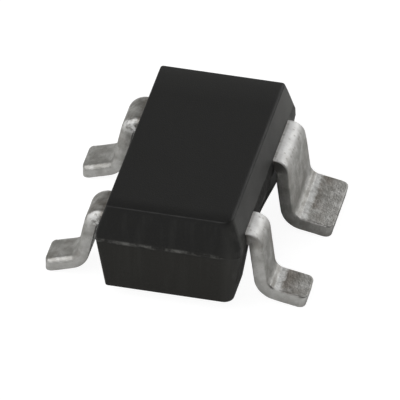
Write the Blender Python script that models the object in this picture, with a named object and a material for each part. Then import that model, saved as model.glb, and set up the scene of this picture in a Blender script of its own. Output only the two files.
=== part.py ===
"""A four-lead voltage detector chip in a small moulded surface-mount package.

The chip stands on its feet at z = 0, with its long side along y. The wide lead is at the far
right, +x and +y. The leads are modelled as they are made: a flat blank is stamped from strip,
with its bond finger or die pad still on it, and is then bent to its gull-wing shape. The
moulding is cast round them, so its pockets are made from the same blanks, a hair larger.
"""

import math

import bmesh
import bpy
from mathutils import Matrix, Vector

MM = 0.001

# Lead strip and where the leads stand
STRIP = 0.11 * MM
LEAD_WIDTH = 0.31 * MM
WIDE_LEAD_WIDTH = 0.635 * MM
LEAD_PITCH = 1.28 * MM
LEAD_REACH = 0.50 * MM

# Bends of a lead, outside the moulding. The two sides were bent a little differently
EXIT_RUN = 0.004 * MM
HEEL_RADIUS = 0.092 * MM
TOE_CORNER = 0.06 * MM
LEFT_SHOULDER = 0.035 * MM
LEFT_LEAN = math.radians(12)
LEFT_TILT = math.radians(18)
RIGHT_SHOULDER = 0.016 * MM
RIGHT_LEAN = math.radians(7)
RIGHT_TILT = math.radians(11)

# Moulding
BODY_WIDTH = 1.20 * MM
END_COVER = 0.205 * MM
STANDOFF = 0.105 * MM
LOWER_HEIGHT = 0.47 * MM
UPPER_HEIGHT = 0.335 * MM
SIDE_DRAFT_LOWER = math.radians(9)
SIDE_DRAFT_UPPER = math.radians(17)
SIDE_BAND = 0.07 * MM
END_DRAFT_LOWER = math.radians(2.5)
END_DRAFT_UPPER = math.radians(7.5)
CORNER_RADIUS = 0.03 * MM
EDGE_RADIUS = 0.016 * MM
FLASH_HEIGHT = 0.014 * MM
FLASH_DEPTH = 0.006 * MM

# Marks that the mould leaves
EJECTOR_DIAMETER = 0.46 * MM
EJECTOR_DEPTH = 0.012 * MM
GATE_WIDTH = 0.28 * MM
GATE_HEIGHT = 0.12 * MM
GATE_DEPTH = 0.012 * MM

# Die, its pad and its glue
DIE_WIDTH = 0.34 * MM
DIE_LENGTH = 0.44 * MM
DIE_HEIGHT = 0.12 * MM
DIE_PLACE = -0.05 * MM
GLUE_HEIGHT = 0.012 * MM
GLUE_RIM = 0.02 * MM
PAD_RIM = 0.08 * MM
LOCK_LAND = 0.27 * MM
LOCK_HOLE = 0.12 * MM
PAD_DOWNSET = 0.12 * MM
DOWNSET_ANGLE = math.radians(45)
DOWNSET_RADIUS = 0.025 * MM
PAD_SHOULDER = 0.02 * MM

# Bond fingers inside the moulding
FINGER_GAP = 0.10 * MM
NECK = 0.06 * MM
ANCHOR = 0.05 * MM

# Gold wires from the die to the fingers
WIRE_DIAMETER = 0.02 * MM
BALL_DIAMETER = 0.052 * MM
BALL_HEIGHT = 0.026 * MM
BOND_INSET = 0.06 * MM
LOOP_HEIGHT = 0.07 * MM
STITCH_LENGTH = 0.05 * MM

# Every piece clears its neighbours and its pocket by this much
CLEARANCE = 0.003 * MM

# Smoothness of round stretches
BEND_STEPS = 7
DOWNSET_STEPS = 3
CORNER_STEPS = 4
EDGE_STEPS = 2
HOLE_SIDES = 24
WIRE_SIDES = 8
WIRE_STEPS = 12

# Places that follow from the sizes above
HALF_WIDTH = BODY_WIDTH / 2
ROW_EDGE = (LEAD_PITCH + LEAD_WIDTH) / 2
HALF_LENGTH = ROW_EDGE + END_COVER
PARTING = STANDOFF + LOWER_HEIGHT
LEAD_MIDDLE = PARTING + STRIP / 2
SIDE_BENDS = {
    -1: (LEFT_SHOULDER, LEFT_LEAN, LEFT_TILT),
    1: (RIGHT_SHOULDER, RIGHT_LEAN, RIGHT_TILT),
}
PAD_HALF = DIE_WIDTH / 2 + PAD_RIM
PAD_NEAR = DIE_PLACE - DIE_LENGTH / 2 - PAD_RIM
PAD_FAR = DIE_PLACE + DIE_LENGTH / 2 + LOCK_LAND
PAD_TOP = PARTING + STRIP - PAD_DOWNSET
GLUE_TOP = PAD_TOP + CLEARANCE + GLUE_HEIGHT
DIE_TOP = GLUE_TOP + CLEARANCE + DIE_HEIGHT
FINGER_END = PAD_HALF + FINGER_GAP


def clear_scene():
    for thing in list(bpy.data.objects):
        bpy.data.objects.remove(thing, do_unlink=True)


def material(name, colour, roughness, metallic):
    made = bpy.data.materials.new(name)
    made.use_nodes = True
    shader = made.node_tree.nodes["Principled BSDF"]
    shader.inputs["Base Color"].default_value = (*colour, 1)
    shader.inputs["Roughness"].default_value = roughness
    shader.inputs["Metallic"].default_value = metallic
    return made


def add_object(name, bm, finish=None, smooth_angle=30):
    """Puts a finished bmesh in the scene. Without a finish it is a cutter, which isn't rendered."""
    bmesh.ops.recalc_face_normals(bm, faces=bm.faces)
    mesh = bpy.data.meshes.new(name)
    bm.to_mesh(mesh)
    bm.free()
    mesh.shade_smooth()
    mesh.set_sharp_from_angle(angle=math.radians(smooth_angle))
    made = bpy.data.objects.new(name, mesh)
    bpy.context.scene.collection.objects.link(made)
    if finish:
        mesh.materials.append(finish)
    else:
        made.hide_render = True
        made.display_type = "WIRE"
    return made


def boolean(target, tool, operation="DIFFERENCE"):
    """Cuts or joins one object with another."""
    change = target.modifiers.new(tool.name, "BOOLEAN")
    change.operation = operation
    change.solver = "EXACT"
    change.object = tool


def box(centre, size):
    bm = bmesh.new()
    bmesh.ops.create_cube(bm, size=1, matrix=Matrix.Translation(centre) @ Matrix.Diagonal((*size, 1)))
    return bm


def disc(centre, diameter, height):
    bm = bmesh.new()
    bmesh.ops.create_cone(
        bm,
        cap_ends=True,
        segments=HOLE_SIDES,
        radius1=diameter / 2,
        radius2=diameter / 2,
        depth=height,
        matrix=Matrix.Translation(centre),
    )
    return bm


def stacked_rings(rings):
    """A solid skinned over rings of points, from the first ring's cap to the last ring's."""
    bm = bmesh.new()
    rows = [[bm.verts.new(point) for point in ring] for ring in rings]
    for below, above in zip(rows, rows[1:]):
        for i in range(len(below)):
            j = (i + 1) % len(below)
            bm.faces.new((below[i], below[j], above[j], above[i]))
    bm.faces.new(reversed(rows[0]))
    bm.faces.new(rows[-1])
    return bm


# Flat blanks of the leads

def rounded(corner, before, after, radius):
    """Points of the arc that rounds a right-angled corner between two neighbouring points."""
    into = (Vector(before) - Vector(corner)).normalized() * radius
    out = (Vector(after) - Vector(corner)).normalized() * radius
    centre = Vector(corner) + into + out
    turns = [math.pi / 2 * step / CORNER_STEPS for step in range(CORNER_STEPS + 1)]
    return [centre - out * math.cos(turn) - into * math.sin(turn) for turn in turns]


def grown(outline, distance):
    """The outline moved outwards by a distance. Its points run anticlockwise."""
    moved = []
    count = len(outline)
    for i, corner in enumerate(outline):
        into = (corner - outline[i - 1]).normalized()
        out = (outline[(i + 1) % count] - corner).normalized()
        normal_in = Vector((into.y, -into.x))
        normal_out = Vector((out.y, -out.x))
        middle = (normal_in + normal_out).normalized()
        moved.append(corner + middle * distance / middle.dot(normal_in))
    return moved


def toe(end, near, far):
    """The outer end of a blank, with its two corners rounded."""
    return [
        *rounded((end, near), (0, near), (end, far), TOE_CORNER),
        *rounded((end, far), (end, near), (0, far), TOE_CORNER),
    ]


def finger_blank(near, far, end):
    """A narrow lead: its toe, and the anchored bond finger that the moulding grips.

    The first number of each point runs along the strip, from 0 where it leaves the moulding.
    """
    tip = FINGER_END - HALF_WIDTH
    outline = toe(end, near, far)
    outline += [Vector((-NECK, far)), Vector((-NECK - ANCHOR, far + ANCHOR)), Vector((tip, far + ANCHOR))]
    outline += [Vector((tip, near - ANCHOR)), Vector((-NECK - ANCHOR, near - ANCHOR)), Vector((-NECK, near))]
    return outline


def pad_blank(near, far, end, pad_edge):
    """The wide lead: its toe, a narrower neck, and the pad that carries the die."""
    back = pad_edge - 2 * PAD_HALF
    outline = toe(end, near, far)
    outline += [Vector((-NECK, far)), Vector((-NECK - ANCHOR, PAD_FAR)), Vector((back, PAD_FAR))]
    outline += [Vector((back, PAD_NEAR)), Vector((pad_edge, PAD_NEAR)), Vector((pad_edge, near))]
    return outline


# Bending a blank

def bend_path(steps):
    """Turns a list of (length, turn) steps into stations of (along, place, heading).

    A step with a turn is an arc, and its length is the arc's own. Headings are in the xz plane.
    """
    along, place, heading = 0.0, Vector((0.0, 0.0)), 0.0
    stations = [(along, place.copy(), heading)]
    for length, turn, pieces in steps:
        for _ in range(pieces):
            share = turn / pieces
            chord = length / pieces
            if turn:
                radius = length / abs(turn)
                chord = 2 * radius * math.sin(abs(share) / 2)
            middle = heading + share / 2
            place = place + chord * Vector((math.cos(middle), math.sin(middle)))
            heading += share
            along += length / pieces
            stations.append((along, place.copy(), heading))
    return stations


def outside_path(side):
    """The strip's middle line from the moulding to the toe, which ends on the seating plane."""
    radius, lean, tilt = SIDE_BENDS[side]
    shoulder = radius + STRIP / 2
    heel = HEEL_RADIUS + STRIP / 2
    steep = math.pi / 2 - lean
    across = LEAD_REACH - STRIP / 2 * math.sin(tilt) - EXIT_RUN
    across -= shoulder * math.sin(steep) + heel * (math.sin(steep) - math.sin(tilt))
    down = LEAD_MIDDLE - STRIP / 2 * math.cos(tilt)
    down -= shoulder * (1 - math.cos(steep)) + heel * (math.cos(tilt) - math.cos(steep))
    # The drop and the foot share what is left: drop * cos + foot * cos = across, and so on
    spread = math.cos(steep) * math.sin(tilt) - math.sin(steep) * math.cos(tilt)
    drop = (across * math.sin(tilt) - down * math.cos(tilt)) / spread
    foot = (down * math.cos(steep) - across * math.sin(steep)) / spread
    return bend_path([
        (EXIT_RUN, 0, 1),
        (shoulder * steep, -steep, BEND_STEPS),
        (drop, 0, 1),
        (heel * (steep - tilt), steep - tilt, BEND_STEPS),
        (foot, 0, 1),
    ])


def inside_path():
    """The middle line inwards from the moulding's side, down to the pad's plane and across it."""
    radius = DOWNSET_RADIUS + STRIP / 2
    slope = (PAD_DOWNSET - 2 * radius * (1 - math.cos(DOWNSET_ANGLE))) / math.sin(DOWNSET_ANGLE)
    run = 2 * radius * math.sin(DOWNSET_ANGLE) + slope * math.cos(DOWNSET_ANGLE)
    level = HALF_WIDTH - PAD_HALF - PAD_SHOULDER - run
    return bend_path([
        (level, 0, 1),
        (radius * DOWNSET_ANGLE, -DOWNSET_ANGLE, DOWNSET_STEPS),
        (slope, 0, 1),
        (radius * DOWNSET_ANGLE, DOWNSET_ANGLE, DOWNSET_STEPS),
        (PAD_SHOULDER, 0, 1),
    ])


def formed(stations, along, height):
    """Where a point of the blank lies once it is bent, as distances out and up."""
    i = 0
    while i < len(stations) - 2 and stations[i + 1][0] < along:
        i += 1
    start, place, heading = stations[i]
    end, place_after, heading_after = stations[i + 1]
    share = (along - start) / (end - start)
    if share <= 1:
        heading += (heading_after - heading) * share
        point = place.lerp(place_after, share)
    else:
        # Past the last station the strip runs straight on
        heading = heading_after
        point = place_after + Vector((math.cos(heading), math.sin(heading))) * (along - end)
    return point + Vector((-math.sin(heading), math.cos(heading))) * height


def cut_at(bm, along):
    """Adds a line of points across the blank, so that it can bend there."""
    everything = [*bm.verts, *bm.edges, *bm.faces]
    bmesh.ops.bisect_plane(
        bm,
        geom=everything,
        dist=1e-9,
        plane_co=(along, 0, 0),
        plane_no=(1, 0, 0),
    )


def lead_mesh(outline, side, inside, grow):
    """Stamps a blank, gives it its thickness and bends it. Side is 1 for right and -1 for left."""
    outside = outside_path(side)
    bm = bmesh.new()
    bottom = bm.faces.new([bm.verts.new((*point, -STRIP / 2 - grow)) for point in grown(outline, grow)])
    raised = bmesh.ops.extrude_face_region(bm, geom=[bottom])["geom"]
    top = [item for item in raised if isinstance(item, bmesh.types.BMVert)]
    bmesh.ops.translate(bm, verts=top, vec=(0, 0, STRIP + 2 * grow))
    for along, _, _ in outside[:-1]:
        cut_at(bm, along)
    for along, _, _ in inside[1:]:
        cut_at(bm, -along)
    for vertex in bm.verts:
        along, across, height = vertex.co
        if along >= 0:
            out, up = formed(outside, along, height)
        elif inside:
            inwards, up = formed(inside, -along, height)
            out = -inwards
        else:
            out, up = along, height
        vertex.co = (side * (HALF_WIDTH + out), across, LEAD_MIDDLE + up)
    return bm


def lead_rows():
    """Near and far edges of each lead, its side, by name."""
    near_row = (-ROW_EDGE, LEAD_WIDTH - ROW_EDGE)
    far_row = (ROW_EDGE - LEAD_WIDTH, ROW_EDGE)
    return {
        "lead_near_right": (near_row, 1),
        "lead_near_left": (near_row, -1),
        "lead_far_left": (far_row, -1),
    }


def make_finger_leads(tin, grow=0.0, prefix=""):
    made = []
    for name, ((near, far), side) in lead_rows().items():
        end = outside_path(side)[-1][0]
        bm = lead_mesh(finger_blank(near, far, end), side, [], grow)
        made.append(add_object(prefix + name, bm, tin))
    return made


def make_wide_lead(tin, grow=0.0, prefix=""):
    """The wide lead with its pad. A hole in the pad lets the moulding grip through it."""
    end = outside_path(1)[-1][0]
    inside = inside_path()
    outline = pad_blank(ROW_EDGE - WIDE_LEAD_WIDTH, ROW_EDGE, end, -inside[-1][0])
    lead = add_object(prefix + "lead_wide", lead_mesh(outline, 1, inside, grow), tin)
    centre = (0, PAD_FAR - LOCK_LAND / 2, PAD_TOP - STRIP / 2)
    hole = disc(centre, LOCK_HOLE - 2 * grow, 3 * STRIP)
    boolean(lead, add_object(prefix + "lock_hole", hole))
    return lead


# Die, glue and wires

def make_glue(silver, grow=0.0, prefix=""):
    """The thin layer of conductive glue under the die, squeezed out into a low rim."""
    width = DIE_WIDTH + 2 * GLUE_RIM
    length = DIE_LENGTH + 2 * GLUE_RIM
    low = PAD_TOP + CLEARANCE - grow
    rings = []
    for height, inset in ((low, 0), ((low + GLUE_TOP) / 2, GLUE_RIM / 4), (GLUE_TOP + grow, GLUE_RIM)):
        across = width / 2 - inset + grow
        along = length / 2 - inset + grow
        rings.append(rounded_rectangle(across, along, GLUE_RIM, height, DIE_PLACE))
    return add_object(prefix + "die_glue", stacked_rings(rings), silver)


def make_die(silicon, grow=0.0, prefix=""):
    middle = DIE_TOP - DIE_HEIGHT / 2
    size = (DIE_WIDTH + 2 * grow, DIE_LENGTH + 2 * grow, DIE_HEIGHT + 2 * grow)
    return add_object(prefix + "silicon_die", box((0, DIE_PLACE, middle), size), silicon)


def wire_stations(start, finish):
    """Places, headings and half sizes along a wire: its ball, its loop and its flattened stitch."""
    flat = Vector((finish.x - start.x, finish.y - start.y, 0))
    reach = flat.length
    flat.normalize()
    up = Vector((0, 0, 1))
    ball = BALL_DIAMETER / 2
    thin = WIRE_DIAMETER / 2
    stations = []
    for share, half in ((0, 0.7 * ball), (0.25, ball), (0.7, ball), (1, 0.6 * ball)):
        stations.append((start + up * BALL_HEIGHT * share, up, half, half))
    # The loop rises from the ball and comes down in a long slope to the stitch
    loop_start = start + up * (BALL_HEIGHT + thin)
    stitch = Vector((finish.x, finish.y, finish.z + thin))
    handles = (
        loop_start,
        loop_start + up * 1.3 * LOOP_HEIGHT,
        loop_start + flat * 0.5 * reach + up * 1.2 * LOOP_HEIGHT,
        stitch,
    )
    for step in range(WIRE_STEPS + 1):
        t = step / WIRE_STEPS
        weights = ((1 - t) ** 3, 3 * t * (1 - t) ** 2, 3 * t * t * (1 - t), t**3)
        slopes = (-(1 - t) ** 2, (1 - t) * (1 - 3 * t), t * (2 - 3 * t), t * t)
        place = sum((weight * handle for weight, handle in zip(weights, handles)), Vector())
        heading = sum((slope * handle for slope, handle in zip(slopes, handles)), Vector()).normalized()
        stations.append((place, heading, thin, thin))
    for share, wide, low in ((0.4, 1.6, 0.6), (1, 2, 0.3)):
        place = finish + flat * STITCH_LENGTH * share + up * low * thin
        stations.append((place, flat, wide * thin, low * thin))
    return stations, flat.cross(up)


def make_wire(name, start, finish, gold, grow=0.0):
    stations, side = wire_stations(start, finish)
    rings = []
    for i, (place, heading, wide, high) in enumerate(stations):
        over = side.cross(heading)
        shift = {0: -grow, len(stations) - 1: grow}.get(i, 0)
        centre = place + heading * shift
        ring = []
        for step in range(WIRE_SIDES):
            turn = 2 * math.pi * (step + 0.5) / WIRE_SIDES
            ring.append(centre + side * math.cos(turn) * (wide + grow) + over * math.sin(turn) * (high + grow))
        rings.append(ring)
    return add_object(name, stacked_rings(rings), gold, smooth_angle=60)


def make_wires(gold, grow=0.0, prefix=""):
    """A wire to each finger, from the corner of the die that is nearest to it."""
    made = []
    for name, ((near, far), side) in lead_rows().items():
        row = -1 if near < 0 else 1
        start = Vector((
            side * (DIE_WIDTH / 2 - BOND_INSET),
            DIE_PLACE + row * (DIE_LENGTH / 2 - BOND_INSET),
            DIE_TOP + CLEARANCE,
        ))
        finish = Vector((
            side * (FINGER_END + BOND_INSET),
            (near + far) / 2 - row * LEAD_WIDTH / 4,
            PARTING + STRIP + CLEARANCE,
        ))
        wire = name.replace("lead", "bond_wire")
        made.append(make_wire(prefix + wire, start, finish, gold, grow))
    return made


# Moulding

def rounded_rectangle(half_width, half_length, radius, height, middle=0.0):
    """A ring of points round a rectangle with round corners, anticlockwise from above."""
    ring = []
    for quarter, (side, end) in enumerate(((1, 1), (-1, 1), (-1, -1), (1, -1))):
        centre = Vector((side * (half_width - radius), middle + end * (half_length - radius), height))
        for step in range(CORNER_STEPS + 1):
            turn = math.pi / 2 * (quarter + step / CORNER_STEPS)
            ring.append(centre + radius * Vector((math.cos(turn), math.sin(turn), 0)))
    return ring


def wall_sections(height, side_draft, end_draft, outward, band=0.0):
    """Heights and insets of one half's wall, from the parting line to its flat face.

    Outward is 1 for the upper half and -1 for the lower one. The band is the upright strip that the
    long sides keep beside the parting line. The wall ends in a small round.
    """
    sections = [(outward * FLASH_HEIGHT / 2, 0)]
    if band:
        sections.append((outward * band, 0))
    for step in range(EDGE_STEPS + 1):
        turn = math.pi / 2 * step / EDGE_STEPS
        level = height - EDGE_RADIUS * (1 - math.sin(turn))
        sections.append((outward * level, EDGE_RADIUS * (1 - math.cos(turn))))
    walls = []
    for level, inset in sections:
        side_inset = inset + max(0, abs(level) - band) * math.tan(side_draft)
        end_inset = inset + abs(level) * math.tan(end_draft)
        walls.append((PARTING + level, side_inset, end_inset))
    return walls


def body_mesh():
    """Both drafted halves, with the thin line of flash that the mould leaves between them."""
    lower = wall_sections(LOWER_HEIGHT, SIDE_DRAFT_LOWER, END_DRAFT_LOWER, -1)
    upper = wall_sections(UPPER_HEIGHT, SIDE_DRAFT_UPPER, END_DRAFT_UPPER, 1, SIDE_BAND)
    flash = [(PARTING + share * FLASH_HEIGHT, -FLASH_DEPTH, -FLASH_DEPTH) for share in (-0.2, 0.2)]
    rings = []
    for level, side_inset, end_inset in lower[::-1] + flash + upper:
        across = HALF_WIDTH - side_inset
        along = HALF_LENGTH - end_inset
        rings.append(rounded_rectangle(across, along, CORNER_RADIUS, level))
    return stacked_rings(rings)


def add_gate_mark(body):
    """The stub left at the far end where the moulding was broken off its runner."""
    depth = 2 * (GATE_DEPTH + LOWER_HEIGHT * math.tan(END_DRAFT_LOWER))
    centre = (0, HALF_LENGTH + GATE_DEPTH - depth / 2, PARTING - FLASH_HEIGHT - GATE_HEIGHT / 2)
    stub = add_object("gate_mark", box(centre, (GATE_WIDTH, depth, GATE_HEIGHT)))
    boolean(body, stub, "UNION")


def add_ejector_mark(body):
    """The shallow round print of the pin that pushed the moulding out, in its underside."""
    mark = disc((0, 0, STANDOFF), EJECTOR_DIAMETER, 2 * EJECTOR_DEPTH)
    boolean(body, add_object("ejector_mark", mark))


def make_body(compound):
    """The moulding, cast round everything it holds."""
    body = add_object("mould_body", body_mesh(), compound)
    add_gate_mark(body)
    add_ejector_mark(body)
    pockets = [
        make_wide_lead(None, CLEARANCE, "pocket_"),
        *make_finger_leads(None, CLEARANCE, "pocket_"),
        make_glue(None, CLEARANCE, "pocket_"),
        make_die(None, CLEARANCE, "pocket_"),
        *make_wires(None, CLEARANCE, "pocket_"),
    ]
    for pocket in pockets:
        boolean(body, pocket)
    return body


def main():
    clear_scene()
    compound = material("black_moulding_compound", (0.021, 0.021, 0.019), 0.55, 0.0)
    tin = material("matte_tin_plating", (0.55, 0.54, 0.51), 0.42, 1.0)
    silicon = material("silicon", (0.16, 0.17, 0.20), 0.15, 0.6)
    silver = material("silver_filled_glue", (0.50, 0.49, 0.46), 0.6, 0.4)
    gold = material("gold", (0.92, 0.66, 0.25), 0.25, 1.0)
    make_wide_lead(tin)
    make_finger_leads(tin)
    make_glue(silver)
    make_die(silicon)
    make_wires(gold)
    make_body(compound)


main()
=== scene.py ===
"""The looks of a four-lead voltage detector chip: its moulding, its tin-plated leads and a studio.

Places are in metres, in the frame of the model that is loaded first. Settings and patterns are
written in millimetres and degrees. The chip stands on its toes at z = 0, its long side is along y,
and its wide lead is at the far right (+x, +y).
"""

from math import atan2, cos, pi, radians, sin, tan

import bmesh
import bpy
from bpy.props import FloatProperty, FloatVectorProperty, PointerProperty
from mathutils import Matrix, Vector, noise


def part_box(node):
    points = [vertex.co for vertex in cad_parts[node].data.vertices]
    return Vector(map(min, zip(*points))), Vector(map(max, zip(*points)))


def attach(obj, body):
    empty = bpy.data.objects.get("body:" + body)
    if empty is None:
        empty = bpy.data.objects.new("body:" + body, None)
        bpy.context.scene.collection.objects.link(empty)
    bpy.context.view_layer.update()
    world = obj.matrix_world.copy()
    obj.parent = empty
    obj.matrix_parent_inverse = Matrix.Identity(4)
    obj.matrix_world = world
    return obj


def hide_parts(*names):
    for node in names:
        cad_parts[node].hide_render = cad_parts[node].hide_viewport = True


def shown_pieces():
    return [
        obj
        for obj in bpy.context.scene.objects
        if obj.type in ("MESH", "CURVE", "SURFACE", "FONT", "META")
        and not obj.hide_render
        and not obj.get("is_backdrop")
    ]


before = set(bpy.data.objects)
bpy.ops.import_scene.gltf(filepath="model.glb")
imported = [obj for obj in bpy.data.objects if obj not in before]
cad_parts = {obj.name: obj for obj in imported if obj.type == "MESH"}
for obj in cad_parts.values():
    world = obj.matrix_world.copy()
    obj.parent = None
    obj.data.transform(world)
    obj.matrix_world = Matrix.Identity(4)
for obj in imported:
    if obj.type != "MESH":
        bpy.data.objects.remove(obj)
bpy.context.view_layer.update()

bl_info = {
    "name": "Voltage detector chip",
    "version": (1, 0, 0),
    "blender": (4, 5, 0),
    "location": "3D View > Sidebar > Chip",
    "description": "Builds a small moulded chip on gull-wing leads, with its finishes and a studio",
    "category": "Object",
}

MM = 0.001
TINY = 1e-9
MERGE = 10 * TINY

# Spacing of the cuts that carry the fine shape of the leads and of the moulding
LEAD_CELL = 0.016 * MM
BODY_CELL = 0.018 * MM

# Facets in each round
BEND_STEPS = 18
TOE_STEPS = 8
ROLL_STEPS = 6
BURR_STEPS = 3
WORN_STEPS = 8
CORNER_STEPS = 6
RIM_STEPS = 5
MARK_SIDES = 64

# Share of a normal along an axis, above which a face, or a point of a long side, faces along it
FACING = 0.7
SIDE_FACING = 0.85

# Leads: where the detailed stretch begins inside the moulding, the straight run before the
# shoulder, the rounds of the lower edges and of the toe's cut end, the width and height of the
# plating's unevenness, and the angle below which faces are merged
JOIN = 0.02 * MM
EXIT_RUN = 0.004 * MM
LOWER_ROUND = 0.010 * MM
TOE_CUT = 0.009 * MM
WAVE = 0.09 * MM
WAVE_HEIGHT = 0.0012 * MM
SMOOTHED = radians(0.5)

# Moulding: its gap to what it is cast round, how much of the near-right lead's width the hollow
# leaves alone, the rows of cuts along the flash, its least share of its full depth, the rows of
# cuts down the gate, how far a normal leans where the mark of a rim begins, and how much more
# until it is full
CLEARANCE = 0.003 * MM
HOLLOW_BEGINS = 0.6
FLASH_ROWS = (-1, -0.4, 0.4, 1)
LEAST_FLASH = 0.15
GATE_ROWS = 4
RIM_BEGINS = 0.06
RIM_GROWS = 0.12

# The leads, and the side that each stands on
LEADS = {"lead_near_right": 1, "lead_near_left": -1, "lead_far_left": -1, "lead_wide": 1}

# Places read from the frame
BODY_LOW, BODY_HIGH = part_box("mould_body")
STRIP_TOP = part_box("lead_near_right")[1].z
TOE_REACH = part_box("lead_wide")[1].x


# Settings

def Length(name, millimetres, description):
    """A setting that is a length, or a length for each of two sides or edges."""
    return measured(name, millimetres, description, "LENGTH", MM)


def Angle(name, degrees, description):
    """A setting that is an angle, or an angle for each of two sides."""
    return measured(name, degrees, description, "ROTATION", radians(1))


def Colour(name, default, description):
    """A setting that is a colour, in linear red, green and blue."""
    return FloatVectorProperty(name=name, description=description, default=default, subtype="COLOR")


def measured(name, default, description, unit, factor):
    given = dict(name=name, description=description, unit=unit)
    if isinstance(default, tuple):
        return FloatVectorProperty(default=[factor * value for value in default], size=len(default), **given)
    return FloatProperty(default=factor * default, **given)


class MouldingSizes(bpy.types.PropertyGroup):
    """Sizes of the moulding. Its height, width and length come from the frame."""

    side_draft_lower: Angle("Lower side draft", 9, "Slope of the long sides below the parting line")
    side_draft_upper: Angle("Upper side draft", 17, "Slope of the long sides above their upright band")
    side_band: Length("Side band", 0.07, "Height of the long sides' upright band at the parting line")
    end_draft_lower: Angle("Lower end draft", 2.5, "Slope of the short ends below the parting line")
    end_draft_upper: Angle("Upper end draft", 7.5, "Slope of the short ends above the parting line")
    corner_radius: Length("Corner radius", 0.022, "Round of the three other upright corners")
    worn_corner_radius: Length("Worn corner radius", 0.080, "Round of the near right upright corner")
    edge_radius: Length("Edge radius", 0.010, "Round of the rims of the top and the underside")
    sag_width: Length("Sag width", 0.12, "How far from its near and far edges the top begins to fall")
    near_sag: Angle("Near sag", 9, "Slope of the top at its near edge")
    far_sag: Angle("Far sag", 3, "Slope of the top at its far edge")
    worn_width: Length("Worn width", 0.03, "How far in from its right edge the top is worn round")
    worn_slope: Angle("Worn slope", 30, "Slope of the top at its worn right edge")
    rough_band: Length("Rough band", 0.115, "Height of the dark, rough band above the parting line")
    hollow: Length("Hollow", 0.064, "How far the underside is drawn in between the right-hand leads")
    flash_depth: Length("Flash depth", 0.006, "How far the line of flash stands out at the parting line")
    flash_height: Length("Flash height", 0.014, "Height of the line of flash")
    ejector_diameter: Length("Ejector mark", 0.46, "Width of the round print in the underside")
    ejector_depth: Length("Ejector mark depth", 0.012, "Depth of the round print in the underside")
    gate_width: Length("Gate mark", 0.28, "Width of the broken gate on the far end")
    gate_height: Length("Gate mark height", 0.12, "Height of the broken gate on the far end")


class LeadSizes(bpy.types.PropertyGroup):
    """Sizes of the leads. Their widths, places and reach come from the frame."""

    strip: Length("Strip", 0.11, "Thickness of the strip that the leads are stamped from")
    heel_radius: Length("Heel radius", 0.092, "Inner radius of the bend above the foot")
    shoulder_radii: Length("Shoulder radii", (0.035, 0.016), "Inner radius of the shoulder, left and right")
    drop_leans: Angle("Lean of the drops", (12, 7), "How far the drops lean outwards, left and right")
    foot_tilts: Angle("Tilt of the feet", (18, 11), "How far the feet slope to their toes, left and right")
    toe_corner: Length("Toe corner", 0.060, "Round of the two corners of a toe, seen from above")
    die_rolls: Length("Die roll", (0.050, 0.014), "Round that stamping leaves above, left and right")
    neck_insets: Length("Neck", (0.045, 0.030), "How far the wide lead's near and far edges are drawn in")
    left_insets: Length("Left neck", (0.0, -0.035), "How far the left leads' two edges are drawn in")
    far_left_extra: Length("Far-left extra", 0.020, "How much wider the far-left lead is on its near edge")
    near_right_shift: Length("Near-right shift", 0.010, "How far back the near-right lead is shifted")
    neck_length: Length("Neck length", 0.22, "Length of strip over which a neck fades out")
    toe_slants: Angle("Toe slants", (18, 0.0), "How far out of square the toes are cut, left and right")
    toe_insets: Length("Toe insets", (0.024, 0.002), "How far the toes end inside the reach, left and right")


class Finishes(bpy.types.PropertyGroup):
    """Colours of the finishes."""

    compound: Colour("Compound", (0.0058, 0.0058, 0.0054), "Black of the moulding's upper half")
    compound_below: Colour("Compound below", (0.0120, 0.0113, 0.0090), "Olive black of the lower half")
    # Painted shade, laid on the rough band mostly between the right-hand leads
    shaded: Colour("Rough band", (0.0065, 0.0058, 0.0045), "Brownish black of the rough band")
    # Also paints the lighter rims, painted light on the rear of the top and a painted highlight down the
    # near right corner
    flash: Colour("Flash", (0.075, 0.075, 0.070), "Grey of the filler, the streaks and the worn rims")
    # Real flecks of flash, and also the painted reflection on the upper long sides
    fleck_and_sheen: Colour("Fleck", (0.16, 0.16, 0.15), "Lighter grey of the broken flash and the pale sides")
    tin: Colour("Tin", (0.575, 0.57, 0.555), "Clean matte tin plating")
    tin_dull: Colour("Dull tin", (0.36, 0.355, 0.335), "Duller patches of the plating")
    # Painted light and painted highlights: the right roots, the narrow leads' sides, the left rims and the
    # heel ridges
    painted_light: Colour("Fresh tin", (0.92, 0.92, 0.91), "Pale grey of the clean tin on the shoulders")
    # Painted shade beside the moulding and on the wide lead's foot sides; also darkens the right heel bends
    # and feet
    shade_brown: Colour("Soil", (0.05, 0.042, 0.035), "Dark brown of the soil beside the moulding and bends")
    # Real pits and specks, and also a painted dark reflection past the heels and painted shade at the roots
    tarnish_and_shade: Colour("Tarnish", (0.17, 0.14, 0.11), "Brown of the plating's stains, pits and specks")


class StudioSettings(bpy.types.PropertyGroup):
    """Camera, floor and lights."""

    azimuth: Angle("Azimuth", 13.35, "Angle of the camera round the chip, to the right of its near end")
    elevation: Angle("Elevation", 38.08, "Angle of the camera above the floor")
    distance: Length("Distance", 93.14, "Distance of the camera from the chip")
    lens: FloatProperty(name="Lens", description="Focal length in mm, for a 36 mm sensor", default=1031.6)
    aim_right: Length("Aim right", 0.030, "How far right of the origin the camera looks")
    aim_up: Length("Aim up", 0.259, "How far above the origin the camera looks")
    floor_colour: Colour("Floor", (0.85, 0.85, 0.84), "Colour of the floor, as the chip reflects it")
    floor_seen: Colour("Seen floor", (0.18, 0.18, 0.18), "Colour of the floor, as the camera sees it")
    floor_glow: FloatProperty(name="Floor glow", description="Glow that the camera sees", default=0.93)
    surround: Colour("Surround", (0.13, 0.13, 0.13), "Grey of the room round the chip")
    back_glow: Colour("Back glow", (0.21, 0.21, 0.205), "Grey of the soft glow behind the chip")
    low_glow: Colour("Low glow", (0.62, 0.62, 0.61), "Grey of the brighter glow low behind the chip")


# Meshes

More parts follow.
